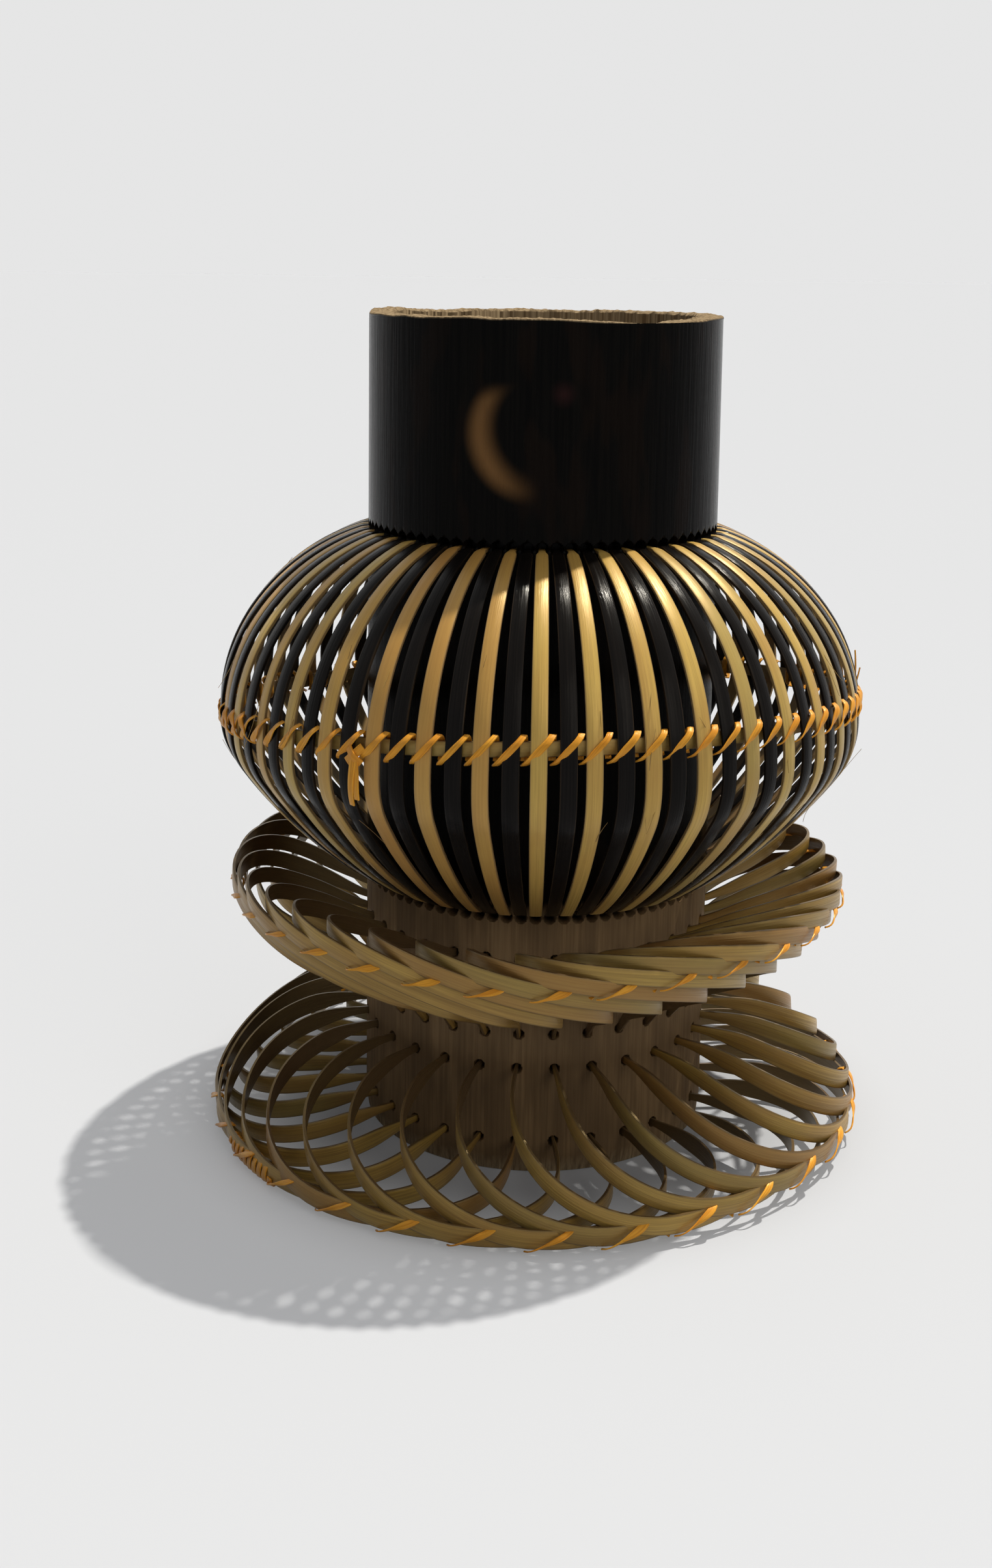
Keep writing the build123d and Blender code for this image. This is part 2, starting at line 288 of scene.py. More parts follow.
def black_finish():
    """Black lacquer that is thin along the strip's sides."""
    made, tree, shader = new_material("black_bamboo")
    fibre, patch = strip_grain(tree, *skin_grain)
    colour = mix_node(tree, fibre, black_deep, black_pale)
    worn = math_node(tree, "MULTIPLY", attribute_node(tree, "edge"), patch)
    worn = math_node(tree, "MULTIPLY", worn, black_worn_share)
    colour = mix_node(tree, worn, colour, black_worn)
    tree.links.new(colour, shader.inputs["Base Color"])
    tree.links.new(range_node(tree, fibre, 0.0, 1.0, *black_roughness), shader.inputs["Roughness"])
    shader.inputs["Specular IOR Level"].default_value = black_gloss
    set_relief(tree, shader, fibre, skin_relief)
    return made


black_bamboo = black_finish()
print("black finish:", black_bamboo.name)

# %% [markdown]
# The binding is a thin, flat peel of cane, orange gold and shiny, with its own fine fibres.
# It is darker where it turns in behind the slats, which is shadow and needs no paint.

# %% Binding cane
cane_grain = (4.0, 60.0)
cane_deep = (0.60, 0.24, 0.02, 1)
cane_pale = (0.92, 0.46, 0.05, 1)
cane_red = (0.66, 0.22, 0.018, 1)
cane_red_share = 0.45
cane_roughness = (0.38, 0.26)
cane_gloss_tint = (1.0, 0.7, 0.3, 1)
cane_relief = 0.04


def binding_finish():
    """Orange gold peel with redder stretches."""
    made, tree, shader = new_material("binding_cane")
    fibre, patch = strip_grain(tree, *cane_grain)
    colour = mix_node(tree, fibre, cane_deep, cane_pale)
    colour = mix_node(tree, math_node(tree, "MULTIPLY", patch, cane_red_share), colour, cane_red)
    tree.links.new(colour, shader.inputs["Base Color"])
    tree.links.new(range_node(tree, fibre, 0.0, 1.0, *cane_roughness), shader.inputs["Roughness"])
    shader.inputs["Specular Tint"].default_value = cane_gloss_tint
    set_relief(tree, shader, fibre, cane_relief)
    return made


binding_cane = binding_finish()
print("binding finish:", binding_cane.name)

# %% [markdown]
# On the neck lies a soft brown crescent on the black lacquer.
# Such a mark could be painted, but two circles give it exactly: one circle, with another taken away.
# A circle is a distance from a place on the front of the culm, and a soft range makes its edge.

# %% Marks on the neck
crescent_place = (-2.6, 211.6)
crescent_radius = 16.6
crescent_softness = 2.6
bite_place = (0.4, 213.6)
bite_radius = 15.2
bite_softness = 3.2
crescent_side_fade = (-15.0, 0.0)
crescent_top_fade = (219.5, 225.5)
red_patch_place = (5.0, 222.1)
red_patch_radius = 1.8
red_patch_softness = 2.6


def circle_mask(tree, place, aside, level, radius, softness):
    """1 inside a circle drawn on the front of the culm, 0 outside, in millimetres."""
    across = math_node(tree, "POWER", math_node(tree, "SUBTRACT", place.outputs[0], aside), 2.0)
    up = math_node(tree, "POWER", math_node(tree, "SUBTRACT", place.outputs[2], level), 2.0)
    away = math_node(tree, "SQRT", math_node(tree, "ADD", across, up))
    inside = range_node(tree, away, radius - softness, radius + softness, 1.0, 0.0)
    return math_node(tree, "MULTIPLY", inside, math_node(tree, "LESS_THAN", place.outputs[1], 0.0))


def crescent_mask(tree, place):
    """A circle with another taken away, faded towards its lower end and its top."""
    whole = circle_mask(tree, place, *crescent_place, crescent_radius, crescent_softness)
    bite = circle_mask(tree, place, *bite_place, bite_radius, bite_softness)
    left = math_node(tree, "SUBTRACT", whole, bite, clamp=True)
    side_fade = range_node(tree, place.outputs[0], *crescent_side_fade, 1.0, 0.0)
    top_fade = range_node(tree, place.outputs[2], *crescent_top_fade, 1.0, 0.0)
    return math_node(tree, "MULTIPLY", math_node(tree, "MULTIPLY", left, side_fade), top_fade)


print("crescent at", crescent_place, "mm on the front of the neck")

# %% [markdown]
# The culm has three finishes on one surface: black lacquer on the neck and behind the slats,
# scraped grey-brown bamboo below, and pale end grain on the sawn rim and in the bore.
# Three materials would need the mesh to be cut where they meet, so one material mixes them instead.
# The mesh carries masks for the holes and the sawn rim, and levels come from the object's coordinates. The
# holes are painted near black, which is painted shade.

# %% Culm colours
culm_grain = (1.1, 45.0)
lacquer_deep = (0.0015, 0.0015, 0.0015, 1)
lacquer_pale = (0.004, 0.0035, 0.003, 1)
lacquer_thin = (0.014, 0.007, 0.004, 1)
lacquer_thin_range = (0.6, 1.0)
lacquer_thin_share = 0.3
crescent_brown = (0.21, 0.108, 0.04, 1)
crescent_share = 0.9
red_patch_colour = (0.06, 0.02, 0.02, 1)
red_patch_share = 0.35
scraped_deep = (0.185, 0.12, 0.063, 1)
scraped_pale = (0.275, 0.182, 0.096, 1)
scraped_stain = (0.115, 0.075, 0.043, 1)
scraped_stain_share = 0.6
end_grain_deep = (0.15, 0.105, 0.06, 1)
end_grain_pale = (0.38, 0.29, 0.18, 1)
# Colour of the peg holes: painted shade for the depth of the holes.
hole_shade_colour = (0.004, 0.003, 0.003, 1)


def lacquer_colour(tree, place, fibre, patch):
    """Black lacquer with thin places, the brown crescent and a small red patch."""
    colour = mix_node(tree, fibre, lacquer_deep, lacquer_pale)
    thin = range_node(tree, patch, *lacquer_thin_range, 0.0, lacquer_thin_share)
    colour = mix_node(tree, thin, colour, lacquer_thin)
    crescent_amount = math_node(tree, "MULTIPLY", crescent_mask(tree, place), crescent_share)
    colour = mix_node(tree, crescent_amount, colour, crescent_brown)
    red_patch = circle_mask(tree, place, *red_patch_place, red_patch_radius, red_patch_softness)
    red_patch = math_node(tree, "MULTIPLY", red_patch, red_patch_share)
    return mix_node(tree, red_patch, colour, red_patch_colour)


def scraped_colour(tree, fibre, patch):
    """Grey-brown bamboo without its skin, stained in places."""
    colour = mix_node(tree, fibre, scraped_deep, scraped_pale)
    stain = math_node(tree, "MULTIPLY", patch, scraped_stain_share)
    return mix_node(tree, stain, colour, scraped_stain)


print("culm colours ready")

# %% Culm finish
lacquer_end_level = 82.0
lacquer_end_range = (lacquer_end_level - 1.0, lacquer_end_level + 2.5)
lacquer_end_raggedness = 3.0
lacquer_roughness = 0.16
scraped_roughness = 0.62
sawn_roughness = 0.8
culm_gloss = 0.03
culm_relief = 0.04


def grey(value):
    return value, value, value, 1


def culm_finish():
    """Lacquer above, scraped bamboo below, end grain where it was sawn, and holes painted dark as painted
    shade.
    """
    made, tree, shader = new_material("culm")
    where = add_node(tree, "ShaderNodeTexCoord", {}).outputs["Object"]
    to_mm = (1 / METRES, 1 / METRES, 1 / METRES)
    in_mm = add_node(tree, "ShaderNodeVectorMath", {0: where, 1: to_mm}, operation="MULTIPLY")
    place = add_node(tree, "ShaderNodeSeparateXYZ", {0: in_mm.outputs[0]})
    streaks = add_node(tree, "ShaderNodeGroup", {"Vector": in_mm.outputs[0]}, node_tree=grain)
    streaks.inputs["Fineness"].default_value, streaks.inputs["Length"].default_value = culm_grain
    fibre, patch = streaks.outputs["Fibre"], streaks.outputs["Patch"]
    sawn = attribute_node(tree, "sawn")
    raggedness = math_node(tree, "MULTIPLY", fibre, lacquer_end_raggedness)
    ragged_level = math_node(tree, "ADD", place.outputs[2], raggedness)
    lacquered = range_node(tree, ragged_level, *lacquer_end_range)
    lacquer = lacquer_colour(tree, place, fibre, patch)
    colour = mix_node(tree, lacquered, scraped_colour(tree, fibre, patch), lacquer)
    colour = mix_node(tree, sawn, colour, mix_node(tree, fibre, end_grain_deep, end_grain_pale))
    # The peg holes are painted near black: painted shade inside the holes.
    colour = mix_node(tree, attribute_node(tree, "hole"), colour, hole_shade_colour)
    tree.links.new(colour, shader.inputs["Base Color"])
    dull = mix_node(tree, lacquered, grey(scraped_roughness), grey(lacquer_roughness))
    tree.links.new(mix_node(tree, sawn, dull, grey(sawn_roughness)), shader.inputs["Roughness"])
    shader.inputs["Specular IOR Level"].default_value = culm_gloss
    set_relief(tree, shader, fibre, culm_relief)
    return made


culm_bamboo = culm_finish()
print("culm finish:", culm_bamboo.name)

# %% [markdown]
# One function turns arrays of points into an object.
# Blender's modelling tools could shape each piece, but with arrays every point is where the sums put it.
# It takes points in millimetres, faces as rows of point numbers, a map corner by corner, and named masks.
# It marks sharp edges by angle, so that a strip keeps the crisp sides that the knife left.

# %% Mesh helper
SHARP_ANGLE = math.radians(50)


def mesh_piece(name, points, faces, corners, masks, material, slot, *nodes):
    """A mesh object that rides the vase and stands for its CAD nodes."""
    mesh = bpy.data.meshes.new(name)
    mesh.from_pydata((points * METRES).tolist(), [], faces)
    if corners is not None:
        layer = mesh.uv_layers.new(name="strip_map")
        layer.data.foreach_set("uv", np.asarray(corners, np.float32).ravel())
    for mask, values in masks.items():
        stored = mesh.attributes.new(mask, "FLOAT", "POINT")
        stored.data.foreach_set("value", np.asarray(values, np.float32))
    mesh.shade_smooth()
    mesh.set_sharp_from_angle(angle=SHARP_ANGLE)
    mesh.materials.append(material)
    made = bpy.data.objects.new(name, mesh)
    bpy.context.scene.collection.objects.link(made)
    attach(made, "root")
    if nodes:
        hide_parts(*nodes)
    return made


print("mesh helper ready")

# %% [markdown]
# The culm is a grid wrapped round the axis, like paper round a tube, closed over the rim and the floor.
# Boolean cuts could drill the six rings of peg holes, but so many cuts leave ragged faces.
# So rows lie close together where the rings are, and there the points inside a hole sink in.
# The rim was cut by hand: it rises to a point at the left, sags at the right and is a little ragged.

# %% Culm sizes
culm_height = 241.0
culm_foot_radius = 52.8
culm_top_radius = 50.0
bore_radius = 43.0
vessel_floor = 20.0
node_thickness = 6.0
hole_depth = 4.0
slat_hole_radius = 1.65
strip_hole_radius = 1.4

slat_count = 80
slat_pitch = 360 / slat_count
belly_high_ring = 180.9
belly_low_ring = 79.8
middle_count = 33
middle_pitch = 360 / middle_count
middle_first_hole = -4.5
middle_high_ring = 65.7
middle_low_ring = 43.0
lower_count = 30
lower_pitch = 360 / lower_count
lower_first_hole = -5.1
lower_high_ring = 32.5
lower_low_ring = 9.9
hole_slack = 0.9
low_hole_slack = 1.5
hole_rings = [
    (belly_high_ring + hole_slack, slat_pitch, 0.0, slat_hole_radius),
    (belly_low_ring - low_hole_slack, slat_pitch, 0.0, slat_hole_radius),
    (middle_high_ring, middle_pitch, middle_first_hole, strip_hole_radius),
    (middle_low_ring, middle_pitch, middle_first_hole, strip_hole_radius),
    (lower_high_ring, lower_pitch, lower_first_hole, strip_hole_radius),
    (lower_low_ring, lower_pitch, lower_first_hole, strip_hole_radius),
]


def culm_radius(level):
    return culm_foot_radius + (culm_top_radius - culm_foot_radius) * level / culm_height


print("rings of holes:", len(hole_rings))

# %% Culm rows
column_count = 800
plain_row_step = 5.0
hole_row_step = 0.36
hole_band = 2.3
hole_slope = (-0.3, 0.1)


def wall_levels():
    """Levels of the rows up the outside: even steps, and close ones in the bands with holes."""
    plain = np.arange(0, culm_height, plain_row_step)
    bands = [ring + np.arange(-hole_band, hole_band, hole_row_step) for ring, *_ in hole_rings]
    close = np.concatenate(bands)
    clear = np.min(np.abs(plain[:, None] - close[None, :]), axis=1) > hole_row_step
    return np.sort(np.concatenate([plain[clear], close]))


def hole_share(angle, level):
    """1 in a peg hole, 0 on the wall, and a steep slope between them."""
    share = np.zeros(np.broadcast(angle, level).shape)
    for ring, pitch, first, radius in hole_rings:
        turn = (angle - first + pitch / 2) % pitch - pitch / 2
        away = np.hypot(np.radians(turn) * culm_radius(ring), level - ring)
        slope_start, slope_end = radius + np.array(hole_slope)
        share = np.maximum(share, 1 - smooth_step(away, slope_start, slope_end))
    return share


columns = np.arange(column_count) * 360 / column_count - 180
levels = wall_levels()
print("culm rows:", len(levels), "columns:", column_count)

# %% Culm rim
rim_point = (-105, 14, 0.9)
rim_sag = (36, 20, -1.3)
rim_wobble = 0.25
rim_wobble_smoothing = 60


def bump_at(angle, centre, width, rise):
    """A smooth rise or sag of the rim round an angle."""
    turn = (angle - centre + 180) % 360 - 180
    return rise * np.exp(-(turn / width) ** 2)


def ragged_line(size, smoothing):
    """A closed uneven line: random heights, smoothed by their neighbours."""
    line = hand.normal(0, 1, size)
    for _ in range(smoothing):
        line = (np.roll(line, 1) + line + np.roll(line, -1)) / 3
    return line / np.abs(line).max()


rim_line = culm_height + bump_at(columns, *rim_point) + bump_at(columns, *rim_sag)
rim_line = rim_line + rim_wobble * ragged_line(column_count, rim_wobble_smoothing)
print("rim from", round(rim_line.min(), 2), "to", round(rim_line.max(), 2), "mm")

# %% Culm grid
axis_radius = 0.1
foot_bevel = 0.4
foot_round = 0.6
neck_wave = 0.15
neck_wave_smoothing = 400
neck_wave_start = belly_high_ring + 5.0
rim_round = 0.5
rim_bevel = 0.2
rim_edge_drop = 0.1
rim_shares = np.linspace(0.1, 0.9, 5)
rim_fibre = 0.35
rim_fibre_smoothing = 2
bore_edge_drop = 0.6


def ring_row(radius, level, sawn=0.0, hole=0.0):
    """One row of the culm's grid with its masks."""
    points = polar(radius, columns, level)
    return points, np.broadcast_to(sawn, column_count), np.broadcast_to(hole, column_count)


def foot_rows():
    """Rows from the middle of the node's underside to the outside of the foot."""
    underside = vessel_floor - node_thickness
    return [ring_row(axis_radius, underside), ring_row(bore_radius, underside),
            ring_row(bore_radius, foot_bevel, 1.0), ring_row(bore_radius + foot_bevel, 0.0, 1.0),
            ring_row(culm_foot_radius - foot_round, 0.0, 1.0)]


def wall_rows():
    """Rows up the outside, with the holes sunk in and the neck a little uneven."""
    rows = []
    waves = neck_wave * ragged_line(column_count, neck_wave_smoothing)
    for level in levels[levels > foot_bevel]:
        sunk = hole_share(columns, level)
        neck = smooth_step(level, neck_wave_start, culm_height)
        rows.append(ring_row(culm_radius(level) + waves * neck - hole_depth * sunk, level, 0.0, sunk))
    return rows


def rim_rows():
    """Rows over the sawn rim, down the bore and over the vessel's floor."""
    rows = [ring_row(culm_top_radius, rim_line - rim_round),
            ring_row(culm_top_radius - rim_bevel, rim_line - rim_edge_drop, 1.0)]
    for share in rim_shares:
        fibres = rim_fibre * ragged_line(column_count, rim_fibre_smoothing)
        radius = culm_top_radius + (bore_radius - culm_top_radius) * share
        rows.append(ring_row(radius, rim_line + fibres, 1.0))
    rows.append(ring_row(bore_radius, rim_line - bore_edge_drop, 1.0))
    return rows + [ring_row(bore_radius, vessel_floor, 1.0), ring_row(axis_radius, vessel_floor, 1.0)]


print("rows over the rim:", len(rim_shares) + 2)

# %% Culm mesh
def grid_faces(row_count, column_count, closed_rows=False):
    """Quads between neighbouring rows of a grid that is closed round its columns."""
    row = np.arange(row_count if closed_rows else row_count - 1)[:, None]
    column = np.arange(column_count)[None, :]
    after, above = (column + 1) % column_count, (row + 1) % row_count
    corners = [row * column_count + column, row * column_count + after,
               above * column_count + after, above * column_count + column]
    return np.stack(np.broadcast_arrays(*corners), axis=-1).reshape(-1, 4)


def make_culm():
    rows = foot_rows() + wall_rows() + rim_rows()
    points = np.concatenate([points for points, _, _ in rows])
    masks = {"sawn": np.concatenate([sawn for _, sawn, _ in rows]),
             "hole": np.concatenate([hole for _, _, hole in rows])}
    faces = grid_faces(len(rows), column_count).tolist()
    faces.append(list(range(column_count))[::-1])
    faces.append(list(range(len(points) - column_count, len(points))))
    return mesh_piece("culm_stem", points, faces, None, masks, culm_bamboo, "culm", "culm")


culm_stem = make_culm()
print("culm points:", len(culm_stem.data.vertices))

# %% [markdown]
# A strip of split bamboo has a flat split face, two square sides and a gently crowned skin.
# A curve with a bevel object would be quicker to draw, but its twist along the way is hard to hold.
# So a sweep sets the section at each station: a point, the direction across and the direction out.
# Several strips go into one mesh, because the frame's nodes hold the strips in small sets.

# %% Strip sweep
strip_section = np.array([(-0.5, -0.5), (0.5, -0.5), (0.5, 0.25), (0.41, 0.46),
                          (0.0, 0.5), (-0.41, 0.46), (-0.5, 0.25)])
section_edge = np.array([1, 1, 1, 0, 0, 0, 1])


def frames_along(points, across, closed):
    """Directions along, across and out for stations on a curve, square to each other."""
    if closed:
        along = unit(np.roll(points, -1, axis=0) - np.roll(points, 1, axis=0))
    else:
        along = unit(np.gradient(points, axis=0))
    across = np.broadcast_to(across, points.shape)
    across = unit(across - np.sum(across * along, axis=1, keepdims=True) * along)
    return along, across, np.cross(along, across)


def sweep(points, across, width, thickness, tone, closed=False):
    """One strip as points, faces, map corners and masks; a closed one has no ends to cap."""
    along, across, out = frames_along(points, across, closed)
    size = len(strip_section)
    width = np.broadcast_to(width, len(points))[:, None, None]
    thickness = np.broadcast_to(thickness, len(points))[:, None, None]
    offsets = across[:, None] * strip_section[None, :, :1] * width
    offsets = offsets + out[:, None] * strip_section[None, :, 1:] * thickness
    skin = (points[:, None] + offsets).reshape(-1, 3)
    faces = grid_faces(len(points), size, closed).tolist()
    run = np.concatenate([[0], np.cumsum(np.linalg.norm(np.diff(points, axis=0), axis=1))])
    girth = strip_section[:, 0] * width.mean()
    place = np.stack(np.broadcast_arrays(girth[None, :], run[:, None]), axis=-1).reshape(-1, 2)
    first, last = list(range(size)), list(range(len(skin) - size, len(skin)))
    masks = {"tone": np.full(len(skin), tone), "edge": np.tile(section_edge, len(points))}
    if not closed:
        faces += [first[::-1], last]
    return skin, faces, place, masks


def strips_piece(name, strips, material, slot, *nodes):
    """Several swept strips as one piece."""
    points, faces, corners, masks = [], [], [], {"tone": [], "edge": []}
    count = 0
    for skin, quads, place, marked in strips:
        faces += [[number + count for number in face] for face in quads]
        corners += [place[number] for face in quads for number in face]
        points.append(skin)
        for mask in masks:
            masks[mask].append(marked[mask])
        count += len(skin)
    masks = {mask: np.concatenate(values) for mask, values in masks.items()}
    return mesh_piece(name, np.concatenate(points), faces, corners, masks, material, slot, *nodes)


print("strip section with", len(strip_section), "points")

# %% [markdown]
# The belly is eighty slats, natural and black in turn.
# Each leaves its hole almost level, bends over a shoulder, bows out and comes back the same way.
# The line is a chain of arcs above and below the widest level: a bend at the hole, a shoulder, a long side.
# The two radii follow from how far the slat has to reach and how far it has to fall.

# %% Belly line
slat_thickness = 0.9
slat_width = 4.4
slat_side_gap = 0.55
slat_peg_width = 2.0
slat_shoulder_length = 3.0
belly_radius = 94.5
belly_widest_level = 127.0
peg_bend_radius = 8.0
peg_depth = 5.0
upper_bow = (belly_high_ring, 18.0, 55.0)
lower_bow = (belly_low_ring, 34.0, 56.0)
arc_stations = 14


def bow_radii(ring, leaving, shoulder):
    """Radii of the shoulder and the side of half a slat."""
    run = belly_radius - slat_thickness / 2 - culm_radius(ring) - peg_bend_radius * sine(leaving)
    rise = abs(ring - belly_widest_level) - peg_bend_radius * (1 - cosine(leaving))
    bends = [[sine(shoulder) - sine(leaving), 1 - sine(shoulder)],
             [cosine(leaving) - cosine(shoulder), cosine(shoulder)]]
    return np.linalg.solve(bends, [run, rise])


def half_slat(ring, leaving, shoulder):
    """Radius and drop below the ring at stations from the peg to the widest level."""
    shoulder_radius, side_radius = bow_radii(ring, leaving, shoulder)
    radius, drop = [culm_radius(ring) - peg_depth, culm_radius(ring)], [0.0, 0.0]
    bends = [(peg_bend_radius, 0, leaving), (shoulder_radius, leaving, shoulder),
             (side_radius, shoulder, 90)]
    for bend, start, end in bends:
        turn = np.linspace(start, end, arc_stations)[1:]
        radius += list(radius[-1] + bend * (sine(turn) - sine(start)))
        drop += list(drop[-1] + bend * (cosine(start) - cosine(turn)))
    return np.array(radius), np.array(drop)


upper_radius, upper_drop = half_slat(*upper_bow)
lower_radius, lower_drop = half_slat(*lower_bow)
slat_line_radius = np.concatenate([upper_radius, lower_radius[-2::-1]])
lower_level = belly_low_ring + lower_drop
slat_line_level = np.concatenate([belly_high_ring - upper_drop, lower_level[-2::-1]])
print("belly slat stations:", len(slat_line_radius))

# %% [markdown]
# A slat is widest at the belly and is thinned towards both ends, where it is pared to a peg.
# Errors of the hand: each slat sits a little to one side, is wider or narrower, and bows more or less.

# %% Belly slats
slats_per_node = 4
slat_sideways = 0.35
slat_bow_error = 0.45
slat_width_error = 0.22
slat_twist_error = 1.5
slat_pared_from = culm_top_radius + 0.8


def slat_widths(radius):
    """Width along the slat: fitted between its neighbours, and pared at the pegs."""
    ring_width = np.radians(slat_pitch) * culm_top_radius - slat_side_gap
    reach = (radius - culm_top_radius) / (belly_radius - culm_top_radius)
    width = ring_width + (slat_width - ring_width) * np.clip(reach, 0, 1)
    pared = smooth_step(radius, slat_pared_from, slat_pared_from + slat_shoulder_length)
    return slat_peg_width + (width - slat_peg_width) * pared


def slat(number):
    """One swept slat with its own small errors."""
    free = np.sin(np.pi * np.linspace(0, 1, len(slat_line_radius)))
    angle = number * slat_pitch + free * hand.normal(0, slat_sideways) / np.radians(belly_radius)
    radius = slat_line_radius + free * hand.uniform(-slat_bow_error, slat_bow_error)
    points = polar(radius, angle, slat_line_level)
    across = polar(1.0, number * slat_pitch + 90 + hand.normal(0, slat_twist_error), 0.0)
    width = slat_widths(slat_line_radius) + free * hand.uniform(-slat_width_error, slat_width_error)
    return sweep(points, across, width, slat_thickness, hand.uniform())


def make_slats(colour, material, start):
    """Every second slat from a start, in sets of one node each."""
    for node in range(slat_count // 2 // slats_per_node):
        numbers = [2 * (node * slats_per_node + place) + start for place in range(slats_per_node)]
        slats = [slat(number) for number in numbers]
        strips_piece(f"{colour}_belly_slats_{node + 1:02d}", slats, material, f"{colour}_bamboo",
                     f"{colour}_slats_{node + 1:02d}")


make_slats("natural", natural_bamboo, 0)
make_slats("black", black_bamboo, 1)
print("belly slats:", slat_count)

# %% [markdown]
# Inside the slats lies a flat hoop of bamboo, tilted a little, that all the slats are tied to.
# It is one closed strip, so the sweep runs a full turn and joins its last station to its first.

# %% Belly hoop
hoop_level = 129.3
hoop_tilt = 5.4
hoop_high_side = 19.7
hoop_height = 4.0
hoop_thickness = 1.0
hoop_seat_gap = 0.75
hoop_stations = 160
hoop_tone = 0.02


def slat_reach(level):
    """Radius of the outside of the slats at a level near the widest one."""
    upper_side = bow_radii(*upper_bow)[1]
    lower_side = bow_radii(*lower_bow)[1]
    side = np.where(np.asarray(level) > belly_widest_level, upper_side, lower_side)
    return belly_radius - (side - np.sqrt(side**2 - (np.asarray(level) - belly_widest_level) ** 2))


def hoop_climb(angle):
    """Level of the hoop's middle at an angle."""
    return hoop_level + belly_radius * np.tan(np.radians(hoop_tilt)) * cosine(angle - hoop_high_side)


def hoop_radius(angle):
    """Radius of the hoop's outside, which leaves a small gap behind the slats."""
    level = hoop_climb(angle)
    edges = np.minimum(slat_reach(level + hoop_height / 2), slat_reach(level - hoop_height / 2))
    return edges - slat_thickness - hoop_seat_gap


def make_hoop():
    angles = 180 + np.arange(hoop_stations) * 360 / hoop_stations
    points = polar(hoop_radius(angles) - hoop_thickness / 2, angles, hoop_climb(angles))
    strip = sweep(points, np.array([0.0, 0.0, 1.0]), hoop_height, hoop_thickness, hoop_tone, closed=True)
    return strips_piece("belly_hoop_strip", [strip], natural_bamboo, "natural_bamboo", "belly_hoop")


belly_hoop = make_hoop()
print("hoop stations:", hoop_stations)

# %% [markdown]
# Each wheel is a ring of strips, and each strip is a loop: straight out of a hole of the upper row,
# along the rim, and straight back into a hole of the lower row, five holes further on.
# Each could be drawn as a Bezier curve, but one formula bends all sixty-three alike.
# The sine of a turn from 0 to 180 degrees carries the strip out and back, and its cosine carries it along.
# A power below one fills the loop out, so that it runs along the rim and turns in sharply.
# Along the rim each strip falls and draws in a little, so that it lies under the next like a shingle.

# %% Wheel loops
strip_thickness = 0.9
strip_peg_width = 2.2
strip_reach = 5
middle_fullness = (0.55, 0.32)
lower_fullness = (0.62, 0.55)
middle_width = 4.7
middle_rim_radius = 95.6
middle_draw_in = 8.0
middle_rim_level = 83.2
middle_fall = 22.0
middle_droop = (1.1, 0.6)
lower_width = 5.4
lower_rim_radius = 102.2
lower_draw_in = 5.5
lower_rim_level = 2.9
lower_fall = 6.5
lower_droop = (2.0, 2.0)
middle_sag = 2.7
middle_sag_width = 25.0
lower_lift = 3.0
lower_lift_rise = (5, 50)
lower_lift_end = (210, 120)


def loop_line(turn, rings, span, fullness, run_radius, run_level, droop):
    """Radius, angle and level of a loop whose run along the rim is given."""
    outgoing = np.asarray(turn) < 90
    ring = np.where(outgoing, *rings)
    foot = culm_radius(ring)
    out = np.clip(sine(turn), 0, 1) ** np.where(outgoing, *fullness)
    radius = foot + (run_radius - foot) * out
    level = ring + (run_level - ring) * out ** np.where(outgoing, *droop)
    return radius, span * (1 - cosine(turn)) / 2, level


def middle_loop(turn, start):
    """Radius, angle and level of a middle loop from a hole at start; its rim sags at the front."""
    share = (1 - cosine(turn)) / 2
    span = strip_reach * middle_pitch
    round_to = (start + span * share + 180) % 360 - 180
    sag = middle_sag * (np.exp(-((round_to / middle_sag_width) ** 2)) - 1)
    run_level = middle_rim_level - middle_fall * share - sag
    run_radius = middle_rim_radius - middle_draw_in * share
    rings = (middle_high_ring, middle_low_ring)
    return loop_line(turn, rings, span, middle_fullness, run_radius, run_level, middle_droop)


def lower_loop(turn, start):
    """Radius, angle and level of a lower loop from a hole at start; its rim lifts at the right."""
    share = (1 - cosine(turn)) / 2
    span = strip_reach * lower_pitch
    round_to = (start + span * share) % 360
    lift = smooth_step(round_to, *lower_lift_rise) * smooth_step(round_to, *lower_lift_end)
    run_level = lower_rim_level + lower_fall * (1 - share) ** 2 + lower_lift * lift
    run_radius = lower_rim_radius - lower_draw_in * share
    rings = (lower_high_ring, lower_low_ring)
    return loop_line(turn, rings, span, lower_fullness, run_radius, run_level, lower_droop)


print("middle rim:", middle_loop(np.array([90.0]), 0.0))

# %% [markdown]
# A loop's strip stands on edge, its skin outwards, so the legs at the left show their split side, painted
# dark as painted shade, and the legs at the right show their skin.
# It is narrow at its two pegs and grows to full width in the legs.
# Stations lie closer together near the pegs, where the loop leaves the culm.

# %% Wheel strips
strips_per_node = 3
strip_taper_length = 18.0
loop_station_count = 72
loop_out_error = 0.35
loop_level_error = 0.3
strip_width_error = 0.25
strip_lean_error = 3.0


def about_axis(vectors, angle):
    """Vectors turned round the culm's axis."""
    turn = np.array([[cosine(angle), -sine(angle), 0], [sine(angle), cosine(angle), 0], [0, 0, 1]])
    return vectors @ turn.T


